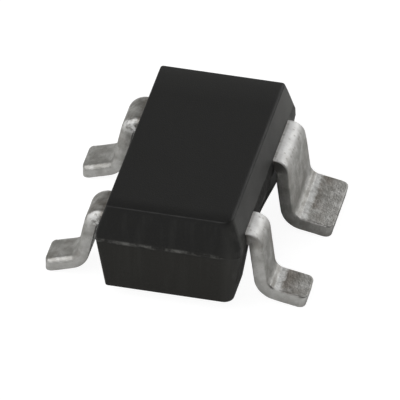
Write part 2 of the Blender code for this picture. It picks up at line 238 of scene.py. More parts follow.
def block(middle, size):
    """A box with its middle at a place."""
    bm = bmesh.new()
    bmesh.ops.create_cube(bm, size=1, matrix=Matrix.Translation(middle) @ Matrix.Diagonal((*size, 1)))
    return bm


def cut(bm, place, normal, clear_outer=False):
    """Adds a line of points where a plane crosses the mesh, and can clear what lies beyond it."""
    plane = dict(plane_co=place, plane_no=normal, clear_outer=clear_outer)
    bmesh.ops.bisect_plane(bm, geom=[*bm.verts, *bm.edges, *bm.faces], dist=TINY, **plane)


def cuts_along(bm, axis, start, stop, spacing):
    """Adds evenly spaced lines of points across one axis, between two places."""
    count = max(1, round((stop - start) / spacing))
    normal = Vector((axis == 0, axis == 1, axis == 2))
    for step in range(1, count):
        cut(bm, normal * (start + (stop - start) * step / count), normal)


def bevel(bm, edges, radius, segments):
    shape = dict(offset_type="OFFSET", profile=0.5, affect="EDGES", material=-1)
    bmesh.ops.bevel(bm, geom=edges, offset=radius, segments=segments, **shape)


def rim_edges(bm, height):
    """Edges at a height that part a level face from a wall."""
    found = []
    for edge in bm.edges:
        level = all(abs(vertex.co.z - height) < TINY for vertex in edge.verts)
        if level and any(abs(face.normal.z) < FACING for face in edge.link_faces):
            found.append(edge)
    return found


def new_object(name, bm):
    mesh = bpy.data.meshes.new(name)
    bm.to_mesh(mesh)
    bm.free()
    made = bpy.data.objects.new(name, mesh)
    bpy.context.scene.collection.objects.link(made)
    return made


def add_piece(name, bm, material, slot, *nodes):
    """Makes a finished mesh a piece that rides on the chip and stands for its CAD nodes."""
    piece = new_object(name, bm)
    piece.data.materials.append(material)
    piece.data.shade_smooth()
    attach(piece, "root")
    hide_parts(*nodes)


# Leads

def exposed_edges(name):
    """Near and far edges of the stretch of a lead that stands out of the moulding."""
    places = [v.co.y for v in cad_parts[name].data.vertices if abs(v.co.x) > BODY_HIGH.x]
    return min(places), max(places)


def bend_path(steps):
    """Turns a list of (length, turn, pieces) into stations of (along, place, heading)."""
    along, place, heading = 0.0, Vector((0.0, 0.0)), 0.0
    stations = [(along, place.copy(), heading)]
    for length, turn, pieces in steps:
        share = turn / pieces
        chord = length / pieces
        if turn:
            chord = 2 * length / abs(turn) * sin(abs(share) / 2)
        for _ in range(pieces):
            middle = heading + share / 2
            place = place + chord * Vector((cos(middle), sin(middle)))
            heading += share
            along += length / pieces
            stations.append((along, place.copy(), heading))
    return stations


def outside_path(sizes, side, half_width):
    """The strip's middle line from the moulding to the toe, which ends on the seating plane."""
    half = sizes.strip / 2
    which = int(side > 0)
    shoulder = sizes.shoulder_radii[which] + half
    heel = sizes.heel_radius + half
    steep = pi / 2 - sizes.drop_leans[which]
    tilt = sizes.foot_tilts[which]
    slant = tan(sizes.toe_slants[which])
    across = TOE_REACH - half_width - sizes.toe_insets[which] - EXIT_RUN
    across -= half * (sin(tilt) - cos(tilt) * slant)
    across -= shoulder * sin(steep) + heel * (sin(steep) - sin(tilt))
    down = STRIP_TOP - half - half * (cos(tilt) + sin(tilt) * slant)
    down -= shoulder * (1 - cos(steep)) + heel * (cos(tilt) - cos(steep))
    spread = cos(steep) * sin(tilt) - sin(steep) * cos(tilt)
    drop = (across * sin(tilt) - down * cos(tilt)) / spread
    foot = (down * cos(steep) - across * sin(steep)) / spread
    return bend_path([
        (EXIT_RUN, 0, 1),
        (shoulder * steep, -steep, BEND_STEPS),
        (drop, 0, max(1, round(drop / LEAD_CELL))),
        (heel * (steep - tilt), steep - tilt, BEND_STEPS),
        (foot, 0, max(1, round(foot / LEAD_CELL))),
    ])


def heel_end(sizes, side, half_width):
    """How far along the strip the bend above the foot ends."""
    stations = outside_path(sizes, side, half_width)
    return min(along for along, _, heading in stations if abs(heading - stations[-1][2]) < TINY)


def formed(stations, along, height):
    """Where a point of the flat blank lies once it is bent, as distances out and up."""
    i = 0
    while i < len(stations) - 2 and stations[i + 1][0] < along:
        i += 1
    start, place, heading = stations[i]
    end, place_after, heading_after = stations[i + 1]
    share = (along - start) / (end - start)
    heading += (heading_after - heading) * share
    point = place.lerp(place_after, share)
    return point + Vector((-sin(heading), cos(heading))) * height


def tighten_toe(bm, near, far, end, die_roll, sizes):
    """Draws in the round of the upper rim where the toe was cut off, round its corners and end."""
    corner = sizes.toe_corner
    top = sizes.strip / 2
    for vertex in bm.verts:
        x, y, z = vertex.co
        if x > end - corner + TINY and z > top - die_roll - TINY:
            middle = min(max(y, near + corner), far - corner)
            arm = Vector((x - end + corner, y - middle))
            share = atan2(arm.x, abs(arm.y)) / (pi / 2)
            tighter = 1 + (TOE_CUT / die_roll - 1) * share
            depth = (corner - arm.length) * tighter
            arm *= (corner - depth) / arm.length
            vertex.co = (end - corner + arm.x, middle + arm.y, top - (top - z) * tighter)


def lead_blank(near, far, end, die_roll, sizes):
    """The flat blank of a lead's outer stretch, open at the end that joins the inner one."""
    start = -JOIN
    half = sizes.strip / 2
    bm = block(((start + end) / 2, (near + far) / 2, 0), (end - start, far - near, sizes.strip))
    toe = [edge for edge in bm.edges if all(abs(vertex.co.x - end) < TINY for vertex in edge.verts)]
    upright = [edge for edge in toe if abs(edge.verts[0].co.z - edge.verts[1].co.z) > half]
    bevel(bm, upright, sizes.toe_corner, TOE_STEPS)
    for height, radius, segments in ((half, die_roll, ROLL_STEPS), (-half, LOWER_ROUND, BURR_STEPS)):
        bm.normal_update()
        rim = rim_edges(bm, height)
        rim = [edge for edge in rim if any(vertex.co.x > start + TINY for vertex in edge.verts)]
        bevel(bm, rim, radius, segments)
    tighten_toe(bm, near, far, end, die_roll, sizes)
    back = [face for face in bm.faces if all(abs(vertex.co.x - start) < TINY for vertex in face.verts)]
    bmesh.ops.delete(bm, geom=back, context="FACES_ONLY")
    return bm


def unevenness(place):
    """A soft, fixed pattern of highs and lows, with a finer one taken from elsewhere in the noise."""
    fine = noise.noise(place * 2.7 / WAVE + Vector((7.1, 3.3, 5.9)))
    return noise.noise(place / WAVE) + 0.5 * fine


def draw_in(bm, near, far, insets, length):
    """Narrows the flat blank towards the moulding, or widens it where an inset is below zero."""
    for vertex in bm.verts:
        left = min(1, max(0, 1 - vertex.co.x / length))
        share = (vertex.co.y - near) / (far - near)
        inset = insets[0] * (1 - share) - insets[1] * share
        vertex.co.y += inset * left * left * (3 - 2 * left)


def outer_stretch(name, side, sizes, half_width):
    """A lead from just inside the moulding to its toe, bent to shape, its plating a little uneven."""
    near, far = exposed_edges(name)
    if name == "lead_far_left":
        near -= sizes.far_left_extra
    if name == "lead_near_right":
        near += sizes.near_right_shift
        far += sizes.near_right_shift
    die_roll = sizes.die_rolls[int(side > 0)]
    stations = outside_path(sizes, side, half_width)
    bm = lead_blank(near, far, stations[-1][0], die_roll, sizes)
    for along, _, _ in stations[:-1]:
        cut(bm, (along, 0, 0), (1, 0, 0))
    cuts_along(bm, 1, near + die_roll, far - die_roll, LEAD_CELL)
    place_layer = bm.verts.layers.float_vector.new("blank_mm")
    sheared_layer = bm.verts.layers.float.new("sheared")
    bm.normal_update()
    for vertex in bm.verts:
        vertex[place_layer] = vertex.co / MM
        vertex[sheared_layer] = 1 - abs(vertex.normal.z)
    for vertex in bm.verts:
        free = min(1, max(0, vertex.co.x / JOIN))
        place = vertex.co + Vector((0, 0, side * MM))
        vertex.co += vertex.normal * free * WAVE_HEIGHT * unevenness(place)
    if name == "lead_wide":
        draw_in(bm, near, far, sizes.neck_insets, sizes.neck_length)
    elif side < 0:
        draw_in(bm, near, far, sizes.left_insets, sizes.neck_length)
    slant = tan(sizes.toe_slants[int(side > 0)])
    for vertex in bm.verts:
        share = min(1, max(0, 1 - (stations[-1][0] - vertex.co.x) / sizes.toe_corner))
        vertex.co.x -= vertex.co.z * slant * share
    for vertex in bm.verts:
        along, across, height = vertex.co
        out, up = along, height
        if along > 0:
            out, up = formed(stations, along, height)
        vertex.co = (side * (half_width + out), across, STRIP_TOP - sizes.strip / 2 + up)
    return bm


def inner_stretch(name, side, join_place):
    """The stretch of a lead that the moulding hides, from the CAD node's own mesh."""
    bm = bmesh.new()
    bm.from_mesh(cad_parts[name].data)
    bmesh.ops.remove_doubles(bm, verts=bm.verts, dist=MERGE)
    bmesh.ops.dissolve_limit(bm, angle_limit=SMOOTHED, verts=bm.verts, edges=bm.edges)
    cut(bm, (side * join_place, 0, 0), (side, 0, 0), clear_outer=True)
    return bm


def joined(first, second):
    """Both meshes in one, with their open ends bridged."""
    carrier = bpy.data.meshes.new("carrier")
    second.to_mesh(carrier)
    second.free()
    first.from_mesh(carrier)
    bpy.data.meshes.remove(carrier)
    bmesh.ops.bridge_loops(first, edges=[edge for edge in first.edges if edge.is_boundary])
    bmesh.ops.recalc_face_normals(first, faces=first.faces)
    return first


# Moulding

def upright_edges(bm, near_right):
    """Upright edges of the near right corner, or of the three others."""
    found = []
    for edge in bm.edges:
        start, end = (vertex.co for vertex in edge.verts)
        upright = abs(start.z - end.z) > edge.calc_length() / 2
        if upright and (start.x > 0 > start.y) == near_right:
            found.append(edge)
    return found


def moulding_block(sizes, half_width, half_length, parting):
    """The moulding's outer form: two drafted halves with round corners and rims."""
    low, high = BODY_LOW.z, BODY_HIGH.z
    bm = block((0, 0, (low + high) / 2), (2 * half_width, 2 * half_length, high - low))
    band = parting + sizes.side_band
    for height in (parting, band):
        cut(bm, (0, 0, height), (0, 0, 1))
    drafts = (
        (low, parting - low, sizes.side_draft_lower, sizes.end_draft_lower),
        (band, 0, sizes.side_draft_upper, sizes.end_draft_upper),
        (high, high - band, sizes.side_draft_upper, sizes.end_draft_upper),
    )
    for height, sloping, side_draft, end_draft in drafts:
        level = [vertex for vertex in bm.verts if abs(vertex.co.z - height) < TINY]
        narrower = 1 - sloping * tan(side_draft) / half_width
        shorter = 1 - abs(height - parting) * tan(end_draft) / half_length
        bmesh.ops.scale(bm, vec=(narrower, shorter, 1), verts=level)
    bevel(bm, upright_edges(bm, True), sizes.worn_corner_radius, WORN_STEPS)
    bevel(bm, upright_edges(bm, False), sizes.corner_radius, CORNER_STEPS)
    for height in (low, high):
        bm.normal_update()
        bevel(bm, rim_edges(bm, height), sizes.edge_radius, RIM_STEPS)
    return bm


def fall(distance, width, slope):
    """How far a face has fallen, at a distance from the edge that it slopes to."""
    share = max(0, 1 - max(0, distance) / width)
    return tan(slope) * width / 2 * share * share


def ease_top(bm, sizes, half_width, half_length, parting):
    """Lets the top fall away softly to its near, far and right edges."""
    rise = BODY_HIGH.z - parting
    end = half_length - rise * tan(sizes.end_draft_upper)
    side = half_width - (rise - sizes.side_band) * tan(sizes.side_draft_upper)
    for vertex in bm.verts:
        x, y, z = vertex.co
        depth = (BODY_HIGH.z - z) / sizes.side_band
        if depth < 1:
            drop = fall(end + y, sizes.sag_width, sizes.near_sag)
            drop += fall(end - y, sizes.sag_width, sizes.far_sag)
            drop += fall(side - x, sizes.worn_width, sizes.worn_slope)
            vertex.co.z -= drop * (1 - depth)


def hollow_side(bm, sizes, half_width, parting):
    """Draws in the lower half between the right-hand leads, fading out behind them.

    It is full from the far edge of the near-right lead to the near edge of the wide one.
    """
    begin, end = exposed_edges("lead_near_right")
    begin += HOLLOW_BEGINS * (end - begin)
    after, last = exposed_edges("lead_wide")
    for vertex in bm.verts:
        x, y, z = vertex.co
        if z < parting - TINY:
            window = min((y - begin) / (end - begin), (after - y) / (after - end) + 1, 1)
            window = max(0, min(window, 2 * (last - y) / (last - after)))
            depth = (parting - z) / (parting - BODY_LOW.z)
            share = min(1, max(0, 2 * x / half_width - 1))
            vertex.co.x -= sizes.hollow * depth * share * window * window * (3 - 2 * window)


def mark_finish(bm):
    """Marks for the finish the rounded rims, whose normals lean, and the long sides."""
    bm.normal_update()
    rim = bm.verts.layers.float.new("rim")
    side = bm.verts.layers.float.new("side")
    for vertex in bm.verts:
        straightest = max(abs(part) for part in vertex.normal)
        vertex[rim] = min(1, max(0, (1 - straightest - RIM_BEGINS) / RIM_GROWS))
        vertex[side] = float(abs(vertex.normal.x) > SIDE_FACING)


def add_flash(bm, sizes, parting):
    """Pushes a broken line of flash out of the parting line."""
    half = sizes.flash_height / 2
    for share in FLASH_ROWS:
        cut(bm, (0, 0, parting + share * half), (0, 0, 1))
    bm.normal_update()
    layer = bm.verts.layers.float.new("flash")
    for vertex in bm.verts:
        if abs(vertex.co.z - parting) < half / 2:
            share = noise.noise(vertex.co / (5 * BODY_CELL)) + 0.5 * noise.noise(vertex.co / BODY_CELL)
            depth = sizes.flash_depth * min(1, max(LEAST_FLASH, 0.5 + share))
            vertex.co += Vector((vertex.normal.x, vertex.normal.y, 0)).normalized() * depth
            vertex[layer] = depth / sizes.flash_depth


def add_gate(bm, sizes, half_length, parting):
    """Draws out the stub at the far end where the moulding was broken off its runner."""
    top = parting - sizes.flash_height
    bottom = top - sizes.gate_height
    half = sizes.gate_width / 2
    for place in (-half, half):
        cut(bm, (place, 0, 0), (1, 0, 0))
    for step in range(GATE_ROWS + 1):
        cut(bm, (0, 0, bottom + (top - bottom) * step / GATE_ROWS), (0, 0, 1))
    bm.normal_update()
    stub = []
    for face in bm.faces:
        centre = face.calc_center_median()
        if face.normal.y > FACING and abs(centre.x) < half and bottom < centre.z < top:
            stub.append(face)
    drawn = bmesh.ops.extrude_face_region(bm, geom=stub)["geom"]
    bmesh.ops.delete(bm, geom=stub, context="FACES_ONLY")
    for vertex in [item for item in drawn if isinstance(item, bmesh.types.BMVert)]:
        broken = 0.5 + 0.5 * noise.noise(vertex.co / (3 * BODY_CELL))
        vertex.co.y = BODY_HIGH.y - min(1, max(0, broken)) * (BODY_HIGH.y - half_length) / 2


def grown_copy(mesh, distance):
    """A cutter of a mesh's shape, larger all round by a distance."""
    bm = bmesh.new()
    bm.from_mesh(mesh)
    bmesh.ops.remove_doubles(bm, verts=bm.verts, dist=MERGE)
    bm.normal_update()
    for vertex in bm.verts:
        vertex.co += vertex.normal * distance
    return new_object("cutter", bm)


def ejector_cutter(sizes):
    bm = bmesh.new()
    radius = sizes.ejector_diameter / 2
    place = Matrix.Translation((0, 0, BODY_LOW.z))
    shape = dict(radius1=radius, radius2=radius, depth=2 * sizes.ejector_depth, matrix=place)
    bmesh.ops.create_cone(bm, cap_ends=True, segments=MARK_SIDES, **shape)
    return new_object("cutter", bm)


def carved(bm, cutters):
    """The mesh with every cutter taken out of it. The cutters are removed."""
    body = new_object("body", bm)
    for cutter in cutters:
        change = body.modifiers.new("pocket", "BOOLEAN")
        change.operation = "DIFFERENCE"
        change.solver = "MANIFOLD"
        change.object = cutter
    bpy.context.view_layer.update()
    result = bpy.data.meshes.new_from_object(body.evaluated_get(bpy.context.evaluated_depsgraph_get()))
    bm = bmesh.new()
    bm.from_mesh(result)
    bpy.data.meshes.remove(result)
    for used in (body, *cutters):
        mesh = used.data
        bpy.data.objects.remove(used)
        bpy.data.meshes.remove(mesh)
    return bm


# Node trees

def add_node(tree, kind, settings=None, inputs=None):
    """A node with its settings, and with its inputs set or linked."""
    made = tree.nodes.new(kind)
    for name, value in (settings or {}).items():
        setattr(made, name, value)
    for name, value in (inputs or {}).items():
        if isinstance(value, bpy.types.NodeSocket):
            tree.links.new(value, made.inputs[name])
        else:
            made.inputs[name].default_value = value
    return made


def calculated(operation, *given):
    """The result of a math node. At least one of what it is given comes from another node."""
    tree = next(item.id_data for item in given if isinstance(item, bpy.types.NodeSocket))
    return add_node(tree, "ShaderNodeMath", {"operation": operation}, dict(enumerate(given))).outputs[0]


def product(first, *others):
    for other in others:
        first = calculated("MULTIPLY", first, other)
    return first


def total(first, *terms):
    """A number with masks added to it, each times an amount of its own."""
    for mask, amount in terms:
        first = calculated("MULTIPLY_ADD", mask, amount, first)
    return first


def larger(first, second):
    return calculated("MAXIMUM", first, second)


def ranged(value, from_low, from_high, to_low=0.0, to_high=1.0):
    ends = {"From Min": from_low, "From Max": from_high, "To Min": to_low, "To Max": to_high}
    return add_node(value.id_data, "ShaderNodeMapRange", None, {"Value": value, **ends}).outputs["Result"]


def between(value, rise, drop):
    """A mask that grows over the first stretch of a value and fades over the second."""
    return product(ranged(value, *rise), ranged(value, *reversed(drop)))


def coordinates(vector):
    return add_node(vector.id_data, "ShaderNodeSeparateXYZ", None, {"Vector": vector}).outputs


def attribute(tree, name, output="Fac"):
    return add_node(tree, "ShaderNodeAttribute", {"attribute_name": name}).outputs[output]


def object_millimetres(tree):
    """The place on the piece, in millimetres."""
    place = add_node(tree, "ShaderNodeTexCoord").outputs["Object"]
    inputs = dict(Vector=place, Scale=(1 / MM, 1 / MM, 1 / MM))
    return add_node(tree, "ShaderNodeMapping", None, inputs).outputs["Vector"]


def new_group(name, vectors, numbers):
    """A shader group with its inputs and one output, its mask."""
    tree = bpy.data.node_groups.new(name, "ShaderNodeTree")
    for label in (*vectors, *numbers):
        kind = "NodeSocketVector" if label in vectors else "NodeSocketFloat"
        tree.interface.new_socket(name=label, in_out="INPUT", socket_type=kind)
    tree.interface.new_socket(name="Mask", in_out="OUTPUT", socket_type="NodeSocketFloat")
    return tree, add_node(tree, "NodeGroupInput").outputs, add_node(tree, "NodeGroupOutput").inputs[0]


def build_patches():
    """Soft-edged patches of noise, which Stretch can draw out into streaks."""
    numbers = ("Scale", "Detail", "Low", "High")
    tree, given, mask = new_group("patches", ("Vector", "Stretch"), numbers)
    stretch = {0: given["Vector"], 1: given["Stretch"]}
    place = add_node(tree, "ShaderNodeVectorMath", {"operation": "MULTIPLY"}, stretch).outputs[0]
    inputs = dict(Vector=place, Scale=given["Scale"], Detail=given["Detail"])
    pattern = add_node(tree, "ShaderNodeTexNoise", None, inputs).outputs["Fac"]
    tree.links.new(ranged(pattern, given["Low"], given["High"]), mask)
    return tree


def build_specks():
    """Small round specks, one in a share of the cells of a scattered pattern."""
    tree, given, mask = new_group("specks", ("Vector",), ("Scale", "Size", "Share"))
    inputs = dict(Vector=given["Vector"], Scale=given["Scale"])
    cells = add_node(tree, "ShaderNodeTexVoronoi", None, inputs).outputs
    lot = add_node(tree, "ShaderNodeSeparateColor", None, {"Color": cells["Color"]}).outputs[0]
    chosen = calculated("LESS_THAN", lot, given["Share"])
    tree.links.new(product(ranged(cells["Distance"], given["Size"], 0.0), chosen), mask)
    return tree


def patches(vector, scale, low, high, detail=2, stretch=(1, 1, 1)):
    """Places the group of patches in a material and gives its mask."""
    group = bpy.data.node_groups.get("patches") or build_patches()
    inputs = dict(Vector=vector, Stretch=stretch, Scale=scale, Detail=detail, Low=low, High=high)
    return add_node(vector.id_data, "ShaderNodeGroup", {"node_tree": group}, inputs).outputs["Mask"]


def specks(vector, scale, size, share):
    """Places the group of specks in a material and gives its mask."""
    group = bpy.data.node_groups.get("specks") or build_specks()
    inputs = dict(Vector=vector, Scale=scale, Size=size, Share=share)
    return add_node(vector.id_data, "ShaderNodeGroup", {"node_tree": group}, inputs).outputs["Mask"]


def mixed(mask, first, second):
    """The second colour where the mask is 1, and the first where it is 0."""
    inputs = {0: mask, 6: first, 7: second}
    return add_node(mask.id_data, "ShaderNodeMix", {"data_type": "RGBA"}, inputs).outputs[2]


def painted(base, colour, mask, share=None):
    """The base with a colour laid over it by a mask, at full strength or at a share of it."""
    if share is not None:
        mask = product(mask, share)
    return mixed(mask, base, (*colour, 1))


def new_material(name, metallic):
    made = bpy.data.materials.new(name)
    made.use_nodes = True
    shader = made.node_tree.nodes["Principled BSDF"]
    shader.inputs["Metallic"].default_value = metallic
    return made, made.node_tree, shader


def add_bump(tree, shader, height, distance):
    bump = add_node(tree, "ShaderNodeBump", None, dict(Height=height, Distance=distance))
    tree.links.new(bump.outputs["Normal"], shader.inputs["Normal"])


# Finishes

# Patterns of the compound: scale, start and end of the mask, detail and stretch
STREAKS = (16, 0.5, 0.8, 2, (1, 1, 0.07))
WEAR = (9, 0.48, 0.70, 3)
RAGGED = (12, 0.3, 0.7, 3)
TORN = (30, 0.3, 0.7, 4)
FLECKS = (11, 0.44, 0.62, 4)
GLOSS = (5, 0.3, 0.7)
COMPOUND_GRAIN = (90, 0.3, 0.7, 3)

# Specks: scale, size and share of the cells that have one
FILLER = (45, 0.35, 0.25)
PITS = (55, 0.42, 0.35)
ROOT_SPECKS = (34, 0.55, 0.35)

# Where the compound changes, in millimetres: from where a mask is 0 to where it is 1, or the other
# way round where the name ends in ENDS. These count from the parting line or the top.
UPPER_HALF = (-0.05, 0.05)
OVER_SEAM = (-0.01, 0.0)
BESIDE_SEAM = (0.022, 0.008)
WALL = (-0.03, -0.06)

# How far the rough band's upper rim fades, and how ragged it is
BAND_RIM = 0.010
BAND_RAGGED = 0.012

# These count across or back from the middle of the chip
RIGHT_SIDE = (-0.05, 0.05)
BAND_BEGINS = (-0.52, -0.46)
BAND_ENDS = (0.16, 0.22)
BAND_RETURNS = (0.79, 0.83)
SIDE_LIGHT = (0.3, 0.9)
CORNER_ACROSS = (0.42, 0.50)
CORNER_BACK = (-0.82, -0.90)
REAR_LIGHT = (0.60, 0.98)


def compound_material(colours, sizes, parting):
    """Black moulding compound: filler, draw streaks, worn rims, flecks of flash and a rough band, with
    painted light and shade.
    """
    made, tree, shader = new_material("black_moulding_compound", 0.0)
    shader.inputs["Specular IOR Level"].default_value = 0.30
    place = object_millimetres(tree)
    across, back, height = coordinates(place)
    over_seam = calculated("SUBTRACT", height, parting / MM)
    above = ranged(over_seam, *UPPER_HALF)
    wall = ranged(calculated("SUBTRACT", height, BODY_HIGH.z / MM), *WALL)
    side = attribute(tree, "side")
    base = mixed(above, (*colours.compound_below, 1), (*colours.compound, 1))
    base = painted(base, colours.flash, product(patches(place, *STREAKS), wall), share=0.10)
    filler = specks(place, *FILLER)
    base = painted(base, colours.flash, filler, share=0.07)
    # Lighter rims: wear, and partly a painted highlight along them
    worn = product(attribute(tree, "rim"), patches(place, *WEAR))
    base = painted(base, colours.flash, worn, share=0.22)
    # Painted reflection: the upper long sides lighter, more so towards the far end
    pale = product(side, above, ranged(back, *SIDE_LIGHT, to_low=0.20, to_high=0.62))
    base = painted(base, colours.fleck_and_sheen, pale)
    # Painted light: the top lighter towards its far end
    rear_light = calculated("SUBTRACT", ranged(back, *REAR_LIGHT, to_high=0.14), wall)
    base = painted(base, colours.flash, larger(rear_light, 0.0))
    # Painted highlight down the worn near right corner
    corner = product(ranged(across, *CORNER_ACROSS), ranged(back, *CORNER_BACK))
    base = painted(base, colours.flash, product(corner, wall), share=0.16)
    # The rough band, which the leads interrupt, darkened with painted shade mostly between the right-hand
    # leads
    top = sizes.rough_band / MM
    ragged = total(over_seam, (patches(place, *RAGGED), BAND_RAGGED))
    band = product(ranged(ragged, top + BAND_RIM, top), ranged(over_seam, *OVER_SEAM), side)
    clear = larger(between(back, BAND_BEGINS, BAND_ENDS), ranged(back, *BAND_RETURNS, to_high=0.4))
    band = product(band, ranged(across, *RIGHT_SIDE), clear)
    torn = patches(place, *TORN)
    base = painted(base, colours.shaded, product(band, ranged(torn, 0, 1, 1.0, 0.6)))
    # The flecks of flash, which the worn corner has lost
    seam = product(ranged(calculated("ABSOLUTE", over_seam), *BESIDE_SEAM), 0.55)
    kept = calculated("SUBTRACT", patches(place, *FLECKS), corner)
    seam = larger(product(larger(attribute(tree, "flash"), seam), kept), 0.0)
    base = painted(base, colours.fleck_and_sheen, seam)
    tree.links.new(base, shader.inputs["Base Color"])
    roughness = total(ranged(patches(place, *GLOSS), 0, 1, 0.42, 0.49), (band, 0.25))
    tree.links.new(roughness, shader.inputs["Roughness"])
    relief = total(patches(place, *COMPOUND_GRAIN), (filler, 0.5), (product(band, torn), 6.0))
    add_bump(tree, shader, relief, 0.0005 * MM)
    return made


# Patterns of the tin: scale, start and end of the mask, detail and stretch
CLEAN = (11, 0.36, 0.64, 5)
MOTTLED = (30, 0.35, 0.65, 4)
DARK_REFLECTION = (7, 0.33, 0.52, 3)
TINTS = (5, 0.52, 0.72)
ROOT_CLOUDS = (13, 0.35, 0.62, 4)
ROLLING_LINES = (40, 0.35, 0.65, 2, (0.06, 1, 1))
SHEAR_LINES = (45, 0.35, 0.65, 2, (1, 1, 0.08))
TIN_GRAIN = (60, 0.3, 0.7, 3)

# Where the tin changes, written in the same way. These count along the strip from the moulding.
ROOT_LINE = (0.010, 0.003)
ROOT_SHADE = (0.11, 0.01)
ROOT_HIGHLIGHT = (0.105, 0.025)
SPECKLED = (0.30, 0.10)
LEFT_ROOT_SHADE = (0.16, 0.08)
RIM_HIGHLIGHT_BEGINS = (0.00, 0.03)
RIM_HIGHLIGHT_ENDS = (0.07, 0.16)
SIDES_LIGHTEN = (0.15, 0.60)

# These count along the strip from the end of the bend above the foot
DARK_BEGINS = (-0.08, -0.06)
DARK_ENDS = (-0.03, -0.01)
RIDGE_BEGINS = (-0.03, -0.01)
RIDGE_ENDS = (0.025, 0.065)
DARK_REFLECTION_BEGINS = (0.03, 0.06)
DARK_REFLECTION_ENDS = (0.09, 0.20)
FOOT_EDGE = (-0.15, 0.10)

# How far some of these waver with the mottled pattern
WAVERING = 0.010

# These count up through the strip, and across or back from the middle of the chip
TORN_EDGE = (0.0, -0.020)
MIDDLE = (-0.1, 0.1)

# These are shares: how far a face is sheared, and how much of a rim is sheared and flat at once
SHEARED_FACE = (0.6, 0.95)
HIGHLIGHTED_RIM = (0.005, 0.08)


